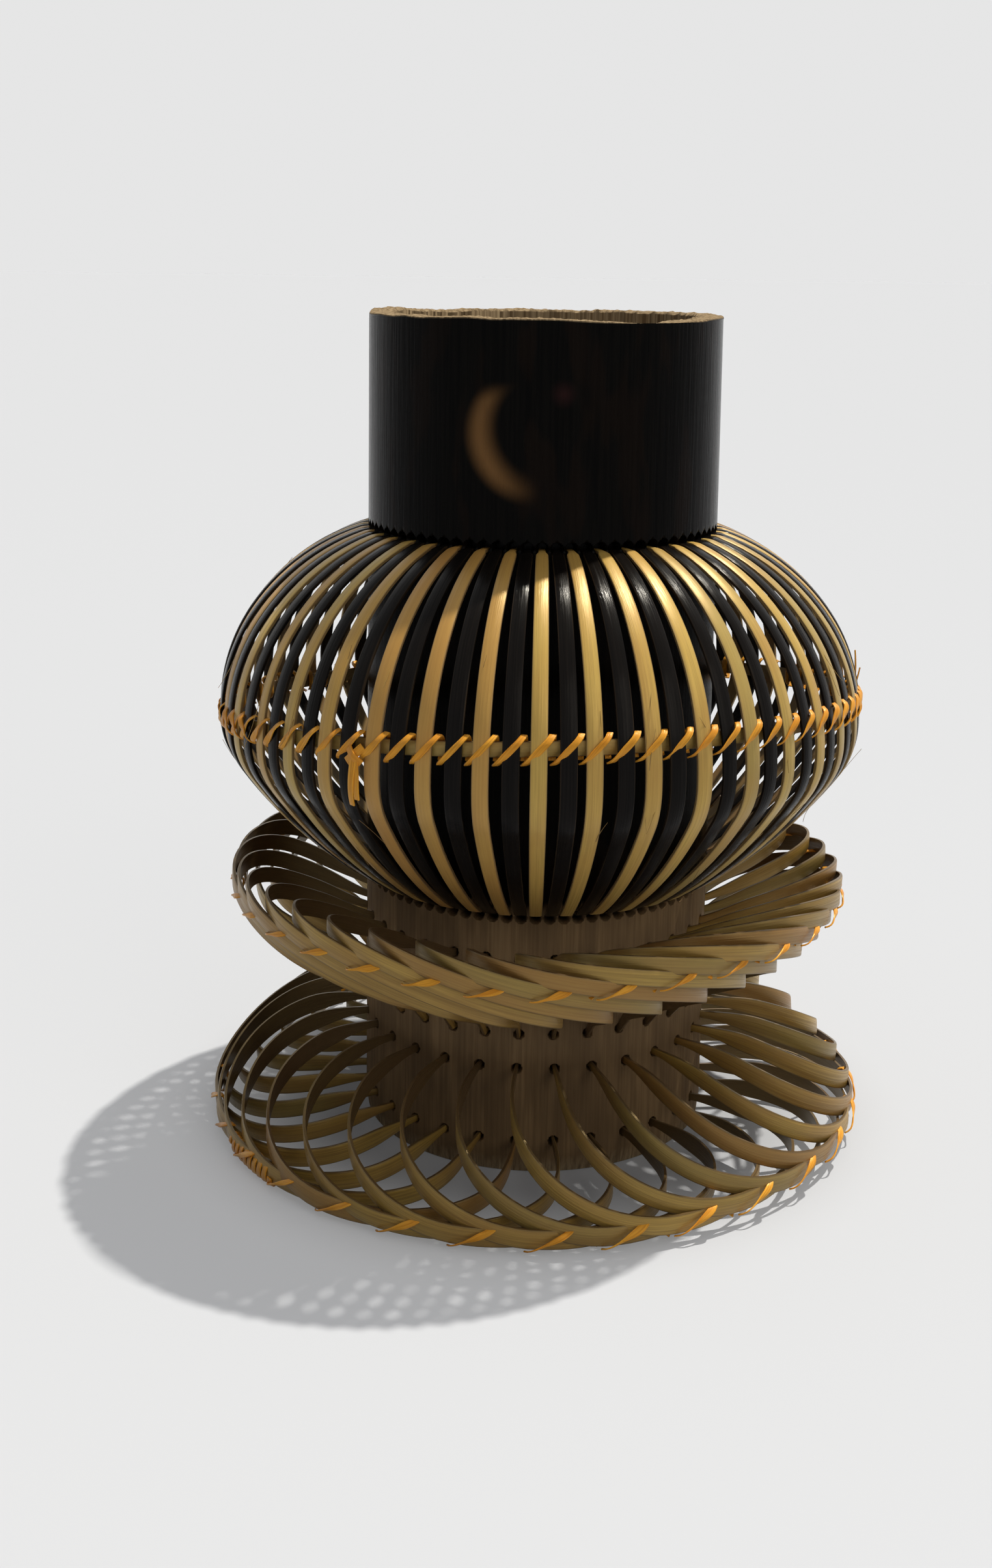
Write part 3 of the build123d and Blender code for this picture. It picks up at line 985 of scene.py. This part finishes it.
def loop_strip(loop, width, angle):
    """One looped strip, pegged at both ends, with its own small errors."""
    turn = 90 - 90 * np.cos(np.linspace(0, np.pi, loop_station_count))
    radius, along, level = loop(turn, angle)
    free = sine(turn)
    radius = radius + free * hand.uniform(-loop_out_error, loop_out_error)
    level = level + free * hand.uniform(0, loop_level_error)
    leg = polar(radius, along, level)
    first = polar(culm_radius(level[0]) - peg_depth, along[0], level[0])
    last = polar(culm_radius(level[-1]) - peg_depth, along[-1], level[-1])
    points = np.concatenate([first[None], leg, last[None]])
    run = np.concatenate([[0], np.cumsum(np.linalg.norm(np.diff(points, axis=0), axis=1))])
    near_end = np.minimum(run, run[-1] - run) - peg_depth
    full = width + hand.uniform(-strip_width_error, strip_width_error)
    widths = strip_peg_width + (full - strip_peg_width) * smooth_step(near_end, 0, strip_taper_length)
    lean = hand.normal(0, strip_lean_error)
    upright = polar(-sine(lean), along.mean(), cosine(lean))
    return sweep(about_axis(points, angle), about_axis(upright, angle), widths, strip_thickness,
                 hand.uniform())


def make_wheel(wheel, loop, count, first, pitch, width):
    """All loops of a wheel, in sets of one node each."""
    for node in range(count // strips_per_node):
        numbers = node * strips_per_node + np.arange(strips_per_node)
        strips = [loop_strip(loop, width, first + pitch * number) for number in numbers]
        strips_piece(f"{wheel}_wheel_loops_{node + 1:02d}", strips, wheel_bamboo, "wheel_bamboo",
                     f"{wheel}_wheel_strips_{node + 1:02d}")


make_wheel("middle", middle_loop, middle_count, middle_first_hole, middle_pitch, middle_width)
make_wheel("lower", lower_loop, lower_count, lower_first_hole, lower_pitch, lower_width)
print("wheel strips:", middle_count + lower_count)

# %% [markdown]
# The binding is one long peel of cane, and every stitch has an outside and an inside.
# Outside it climbs across a face, inside it goes down behind it, and it passes the edges in between.
# The arch says how far it stands off the middle: nothing at the two edges, and all of it on the faces.
# The peel lies flat on what it binds, so it is swept with its face away from the line in the middle.

# %% Binding helpers
binding_thickness = 0.4
outside_stations = 15
inside_stations = 11
arch_power = 5
outside_run = np.linspace(0, 1, outside_stations)
inside_run = np.linspace(0, 1, inside_stations)[1:-1]


def arch(run):
    """0 at both ends of a run, and nearly 1 between them."""
    return 1 - np.abs(2 * run - 1) ** arch_power


def peel(points, middle, width, tone):
    """A flat peel whose face turns away from a middle line."""
    along = unit(np.gradient(points, axis=0))
    out = points - middle
    out = unit(out - np.sum(out * along, axis=1, keepdims=True) * along)
    return sweep(points, np.cross(out, along), width, binding_thickness, tone)


print("stations in a stitch:", len(outside_run) + len(inside_run))

# %% [markdown]
# The belly lashing goes round the hoop once for every slat.
# Outside it slants across the slat from the gap on its left to the gap on its right.
# It goes in over the hoop, straight down behind it, and out again below.
# At the left end a few more turns cross it, where the peel was started.

# %% Belly lashing
stitch_rise = hoop_height / 2 + 1.9
stitch_stand = 0.45
belly_stitch_width = 1.6
belly_lashing_nodes = 4
belly_stitch_spread = (0.85, 1.2)
starting_slat = -15
starting_turns = 3
starting_slant = -0.9
starting_lift = 0.5


def belly_stitch(number, slant=1.0, lift=0.0):
    """Points of one stitch and of the line that it turns round."""
    outside_angle = (number + slant * (outside_run - 0.5)) * slat_pitch
    inside_angle = np.full(len(inside_run), (number + slant * 0.5) * slat_pitch)
    angle = np.concatenate([outside_angle, inside_angle])
    rise = stitch_rise * np.concatenate([2 * outside_run - 1, 1 - 2 * inside_run])
    level = hoop_climb(angle)
    outer = slat_reach(level) + stitch_stand + lift
    inner = hoop_radius(angle) - hoop_thickness - stitch_stand
    middle = (outer + inner) / 2
    side = np.concatenate([arch(outside_run), -arch(inside_run)])
    return polar(middle + (outer - middle) * side, angle, level + rise), polar(middle, angle, level)


def binding_strip(stitch, width):
    """One stitch as a peel with a tone of its own."""
    points, middle = stitch
    return peel(points, middle, width, hand.uniform())


def starting_strips():
    """The turns that cross the lashing where the peel was started."""
    numbers = starting_slat + np.arange(starting_turns)
    stitches = [belly_stitch(number, starting_slant, starting_lift) for number in numbers]
    return [binding_strip(stitch, belly_stitch_width) for stitch in stitches]


def make_belly_lashing():
    """One stitch over every slat, in lengths of one node each."""
    share = slat_count // belly_lashing_nodes
    for node in range(belly_lashing_nodes):
        numbers = range(node * share, (node + 1) * share)
        strips = []
        for number in numbers:
            width = belly_stitch_width * hand.uniform(*belly_stitch_spread)
            strips.append(binding_strip(belly_stitch(number), width))
        if starting_slat % slat_count in numbers:
            strips += starting_strips()
        strips_piece(f"belly_binding_{node + 1}", strips, binding_cane, "binding",
                     f"belly_lashing_{node + 1}")


make_belly_lashing()
print("belly stitches:", slat_count)

# %% [markdown]
# On the wheels the binding takes in each strip just past the middle of its run along the rim.
# It comes out below the strip's lower edge, twists from its edge to its face as it climbs,
# and goes in over the upper edge, then behind to the next strip.
# The strip's own line gives the levels and radii, so the stitch follows it as it falls.

# %% Wheel lashings
stitch_turn = 101.0
stitch_share = 0.62
wheel_stitch_ease = 0.7
wheel_stitch_stand = 1.8
wheel_stitch_width = 2.0
wheel_stitch_spread = (0.8, 1.15)
stitch_thin_end = 0.25
stitch_opening = (0.25, 0.8)
stitch_behind = 0.6
wheel_lashing_nodes = 2
rim_turns = np.linspace(30, 150, 121)


def wheel_stitch(loop, width, pitch, start):
    """Points of one stitch and of the line that it turns round, on the strip from a hole at start."""
    radius, angle, level = loop(rim_turns, start)
    held = loop(np.array([stitch_turn]), start)[1][0]
    place = np.concatenate([held - stitch_share * pitch * (1 - outside_run),
                            held + (1 - stitch_share) * pitch * inside_run])
    behind = held - stitch_share * pitch * inside_run
    on_strip = np.concatenate([place[:outside_stations], behind])
    up_and_down = np.concatenate([2 * outside_run - 1, 1 - 2 * inside_run])
    rise = (width / 2 + wheel_stitch_ease) * up_and_down
    side = wheel_stitch_stand * np.concatenate([arch(outside_run), -arch(inside_run)])
    line_radius = np.interp(on_strip, angle, radius)
    line_level = np.interp(on_strip, angle, level)
    points = polar(line_radius + side, start + place, line_level + rise)
    return points, polar(line_radius, start + place, line_level)


def stitch_widths():
    """Width along a wheel stitch: a thin end that opens out to the full peel, and thin behind."""
    opening = stitch_thin_end + (1 - stitch_thin_end) * smooth_step(outside_run, *stitch_opening)
    return wheel_stitch_width * np.concatenate([opening, np.full(len(inside_run), stitch_behind)])


print("rim stations:", len(rim_turns))

# %% [markdown]
# The lower wheel's binding ends at the left in a whipping: close turns round the whole rim.
# A whipping is a helix, so its radius and level go round while its angle moves slowly on.

# %% Whipping and wheel bindings
whipping_start = -63.0
whipping_end = -48.0
whipping_turns = 9
whipping_level = 3.7
whipping_height = 3.0
whipping_depth = 1.5
whipping_radius = 98.6
whipping_width = 2.1
whipping_tone = 0.9


def whipping():
    """Close turns of the peel round the rim."""
    share = np.linspace(0, 1, whipping_turns * outside_stations)
    angle = whipping_start + (whipping_end - whipping_start) * share
    turn = 360 * whipping_turns * share
    level = whipping_level + whipping_height * sine(turn)
    points = polar(whipping_radius + whipping_depth * cosine(turn), angle, level)
    return peel(points, polar(whipping_radius, angle, whipping_level), whipping_width, whipping_tone)


def make_wheel_lashing(wheel, loop, count, first_hole, pitch, width, extra):
    """One stitch over every strip, in lengths of one node each, and extra strips in the last."""
    ends = np.linspace(0, count, wheel_lashing_nodes + 1).astype(int)
    for node in range(wheel_lashing_nodes):
        starts = first_hole + pitch * np.arange(ends[node], ends[node + 1])
        stitches = [wheel_stitch(loop, width, pitch, start) for start in starts]
        strips = [binding_strip(stitch, stitch_widths() * hand.uniform(*wheel_stitch_spread))
                  for stitch in stitches]
        if node == wheel_lashing_nodes - 1:
            strips += extra
        strips_piece(f"{wheel}_wheel_binding_{node + 1}", strips, binding_cane, "binding",
                     f"{wheel}_wheel_lashing_{node + 1}")


make_wheel_lashing("middle", middle_loop, middle_count, middle_first_hole, middle_pitch, middle_width, [])
make_wheel_lashing("lower", lower_loop, lower_count, lower_first_hole, lower_pitch, lower_width,
                   [whipping()])
print("wheel stitches:", middle_count + lower_count)

# %% [markdown]
# The belly lashing is tied off at the front left: a small knot with two ends that hang down.
# At the right its other end stands up, frayed.
# Both are short peels that start on the lashing, so each is a strip on a few stations.

# %% Short peels
short_stations = 14
peel_middle_depth = 8.0


def short_peel(angles, lifts, levels, width, tone):
    """A short peel over the slats through places given by angle, lift off the slats and level."""
    share = np.linspace(0, 1, len(angles))
    fine = np.linspace(0, 1, short_stations)
    angle = np.interp(fine, share, angles)
    lift = np.interp(fine, share, lifts)
    level = np.interp(fine, share, levels)
    points = polar(slat_reach(level) + lift, angle, level)
    return peel(points, polar(belly_radius - peel_middle_depth, angle, level), width, tone)


print("stations in a short peel:", short_stations)

# %% [markdown]
# Each strand of the knot and the tail is written as three places: where it starts, bends and ends.
# A place is an angle from the knot, a lift off the slats and a rise, and the strand has a width and a tone.

# %% Knot and tail
knot_slat = 73.4
knot_hang = 2.0
knot_tail_width = 2.0 * np.linspace(1.0, 0.75, short_stations)
knot_strands = [
    ((-1.5, 0.0, 1.4), (0.7, 1.6, 0.8), (-2.0, 0.0, 2.4), 2.2, 0.3),
    ((1.3, 0.0, -1.2), (0.9, 2.1, 0.9), (-2.0, 0.0, 1.8), 2.0, 0.6),
    ((0.0, -0.3, -1.1), (1.4, 1.6, 0.8), (-0.5, -6.0, -14.0), knot_tail_width, 0.2),
    ((0.2, 0.5, 0.2), (1.4, 1.3, 1.0), (-0.5, -6.0, -12.0), knot_tail_width, 0.8),
]
tail_slat = 21
tail_taper = np.linspace(1.0, 0.25, short_stations)
tail_strands = [
    ((0.0, 0.6, 1.2), (0.8, 2.2, 3.6), (0.0, 6.0, 12.0), 1.8 * tail_taper, 0.2),
    ((0.0, 1.2, 2.4), (0.8, 2.2, 3.6), (0.0, 4.5, 9.0), 1.0 * tail_taper, 0.5),
    ((0.0, 0.1, 0.2), (0.8, 2.2, 3.6), (0.0, 3.5, 7.0), 0.9 * tail_taper, 0.8),
]


def make_strands(name, node, strands, angle, level):
    """The strands of a knot or a tail as one piece, placed from an angle and a level."""
    strips = [short_peel(angle + np.array(turns), lifts, level + np.array(rises), width, tone)
              for turns, lifts, rises, width, tone in strands]
    return strips_piece(name, strips, binding_cane, "binding", node)


knot_angle = knot_slat * slat_pitch
tail_angle = tail_slat * slat_pitch
knot_level = hoop_climb(knot_angle) - knot_hang
make_strands("belly_binding_knot", "belly_knot", knot_strands, knot_angle, knot_level)
make_strands("belly_binding_tail", "belly_tail", tail_strands, tail_angle, hoop_climb(tail_angle))
print("knot at slat", knot_slat, "and tail at slat", tail_slat)

# %% [markdown]
# Splitting bamboo leaves loose fibres, fine hairs that stand off the slats here and there.
# A hair system could grow them, but swept strips stay in the mesh when the vase is exported.
# They are the smallest strips of all, and each starts on a slat and curls away from it.

# %% Loose fibres
fibre_count = 44
fibre_width = 0.16
fibre_thickness = 0.12
fibre_stations = 9
fibre_levels = (belly_low_ring + 22, belly_high_ring - 18)
fibre_lengths = (5, 14)
fibre_lifts = (0.6, 2.6)
fibre_turns = (-2.5, 2.5)
fibre_side = 0.8
fibre_stand = 0.3
fibre_taper = 1.2


def loose_fibre():
    """One hair that leaves the side of a natural slat."""
    number = 2 * hand.integers(0, slat_count // 2)
    level = hand.uniform(*fibre_levels)
    length = hand.uniform(*fibre_lengths)
    lift = hand.uniform(*fibre_lifts)
    aside = hand.uniform(*fibre_turns)
    share = np.linspace(0, 1, fibre_stations)
    levels_along = level + hand.choice([-1, 1]) * length * share
    radius = np.interp(levels_along, slat_line_level[::-1], slat_line_radius[::-1])
    angle = number * slat_pitch + aside * share**1.5 + hand.choice([-1, 1]) * fibre_side
    points = polar(radius + fibre_stand + lift * share**2, angle, levels_along)
    widths = fibre_width * (fibre_taper - share)
    return sweep(points, polar(1.0, angle[0] + 90, 0.0), widths, fibre_thickness, hand.uniform())


fibres = [loose_fibre() for _ in range(fibre_count)]
strips_piece("loose_fibres", fibres, natural_bamboo, "natural_bamboo")
print("loose fibres:", fibre_count)

# %% [markdown]
# The key light stands above, to the right and a little behind, which lays the shadow to the front left.
# A sun lamp lights the floor evenly to the horizon. Its small angle keeps the shadow's edge firm enough
# for the spots of light that fall through between the slats.
# It is a little warm, as lamplight is, and a wide weak lamp at the right of the camera fills the front.

# %% Lamps
key_direction = unit(np.array([0.315, 0.30, 1.0]))
key_colour = (1.0, 0.93, 0.80)
key_strength = 3.9
key_angle = 1.4
fill_place = (0.75, -1.0, 0.8)
fill_target = (0.0, 0.0, 0.1)
fill_size = 0.9
fill_power = 3.6


def make_key():
    lamp = bpy.data.lights.new("key", "SUN")
    lamp.energy = key_strength
    lamp.color = key_colour
    lamp.angle = math.radians(key_angle)
    key = bpy.data.objects.new("key", lamp)
    key.rotation_euler = Vector(key_direction).to_track_quat("Z", "Y").to_euler()
    bpy.context.scene.collection.objects.link(key)


def make_fill():
    lamp = bpy.data.lights.new("fill", "AREA")
    lamp.energy = fill_power
    lamp.color = key_colour
    lamp.size = fill_size
    fill = bpy.data.objects.new("fill", lamp)
    fill.location = fill_place
    fill.rotation_euler = (Vector(fill_place) - Vector(fill_target)).to_track_quat("Z", "Y").to_euler()
    bpy.context.scene.collection.objects.link(fill)


make_key()
make_fill()
print("key strength", key_strength, "fill power", fill_power)

# %% [markdown]
# The floor is a wide pale sheet, and the world is as pale where the camera sees it, so no line shows.
# Light Path tells a ray from the camera, or one mirrored in the lacquer, from the rays that light the vase.
# The floor glows a little for those rays only, which lightens it and its shadow but not the bamboo.
# Under the wheels the glow fades, which paints the shade under the vase onto the floor, as dark as a floor
# under a basket.
# The room's light comes mostly from overhead, as under a pale ceiling.

# %% Floor and world
floor_size = 60.0
floor_drop = 0.0002
floor_shade = 0.51
floor_glow = 0.28
shade_under = 0.1
shade_under_reach = (0.06, 0.12)
room_low = 0.1
room_high = 0.4
room_light = (room_low + room_high) / 2
floor_light = np.array(key_colour) * key_strength * key_direction[2] / math.pi + room_light
floor_colour = floor_shade / floor_light
background = floor_shade + floor_glow


def seen_rays(tree):
    """1 for rays that carry what the camera sees, straight or mirrored, and 0 for light."""
    rays = add_node(tree, "ShaderNodeLightPath", {})
    seen = math_node(tree, "ADD", rays.outputs["Is Camera Ray"], rays.outputs["Is Glossy Ray"])
    return math_node(tree, "ADD", seen, rays.outputs["Is Transmission Ray"], clamp=True)


def make_floor():
    """A pale sheet that glows for seen rays, and less under the vase, as painted shade."""
    half = floor_size / 2
    mesh = bpy.data.meshes.new("floor")
    corners = [(-half, -half, -floor_drop), (half, -half, -floor_drop),
               (half, half, -floor_drop), (-half, half, -floor_drop)]
    mesh.from_pydata(corners, [], [(0, 1, 2, 3)])
    made, tree, shader = new_material("pale_floor")
    shader.inputs["Base Color"].default_value = (*floor_colour, 1)
    shader.inputs["Roughness"].default_value = 1.0
    shader.inputs["Specular IOR Level"].default_value = 0.0
    shader.inputs["Emission Color"].default_value = (1, 1, 1, 1)
    where = add_node(tree, "ShaderNodeTexCoord", {}).outputs["Object"]
    away = add_node(tree, "ShaderNodeVectorMath", {0: where}, operation="LENGTH").outputs["Value"]
    # The glow is lower under the vase: painted shade on the floor.
    open_floor = range_node(tree, away, *shade_under_reach, shade_under, 1.0)
    seen = math_node(tree, "MULTIPLY", seen_rays(tree), open_floor)
    tree.links.new(math_node(tree, "MULTIPLY", seen, floor_glow), shader.inputs["Emission Strength"])
    mesh.materials.append(made)
    floor = bpy.data.objects.new("floor", mesh)
    bpy.context.scene.collection.objects.link(floor)


def make_world():
    """Light from overhead, and the pale background for seen rays."""
    world = bpy.data.worlds.new("studio")
    world.use_nodes = True
    tree = world.node_tree
    tree.nodes.clear()
    facing = add_node(tree, "ShaderNodeTexCoord", {}).outputs["Generated"]
    height = add_node(tree, "ShaderNodeSeparateXYZ", {0: facing}).outputs[2]
    overhead = math_node(tree, "MULTIPLY", math_node(tree, "POWER", height, 2.0), room_high - room_low)
    strength = math_node(tree, "ADD", overhead, room_low)
    lit = add_node(tree, "ShaderNodeBackground", {"Color": (1, 1, 1, 1), "Strength": strength})
    shown = add_node(tree, "ShaderNodeBackground", {"Color": (1, 1, 1, 1), "Strength": background})
    mixed = add_node(tree, "ShaderNodeMixShader",
                     {0: seen_rays(tree), 1: lit.outputs[0], 2: shown.outputs[0]})
    add_node(tree, "ShaderNodeOutputWorld", {"Surface": mixed.outputs[0]})
    bpy.context.scene.world = world


make_floor()
make_world()
bpy.context.scene.view_settings.view_transform = "Standard"
print("background", round(background, 3), "room light", room_light)

# %% [markdown]
# The camera stands in front, a little above the rim, and looks down on the vase.
# Its lens follows from the picture's height in pixels, so the frame is the photograph's own.

# %% Camera
picture_height = 2408
focal_pixels = 2791
sensor_height = 24.0
camera_place = (0.0, -0.531, 0.2552)
camera_pitch = 16.06
camera_yaw = 1.37
camera_roll = 0.66


def make_camera():
    data = bpy.data.cameras.new("camera")
    data.sensor_fit = "VERTICAL"
    data.sensor_height = sensor_height
    data.lens = focal_pixels / picture_height * sensor_height
    camera = bpy.data.objects.new("camera", data)
    aim = Matrix.Rotation(math.radians(camera_yaw), 4, "Z")
    aim = aim @ Matrix.Rotation(math.radians(90 - camera_pitch), 4, "X")
    aim = aim @ Matrix.Rotation(math.radians(camera_roll), 4, "Z")
    camera.matrix_world = Matrix.Translation(camera_place) @ aim
    bpy.context.scene.collection.objects.link(camera)
    bpy.context.scene.camera = camera


make_camera()
print("lens", round(bpy.context.scene.camera.data.lens, 2), "mm")
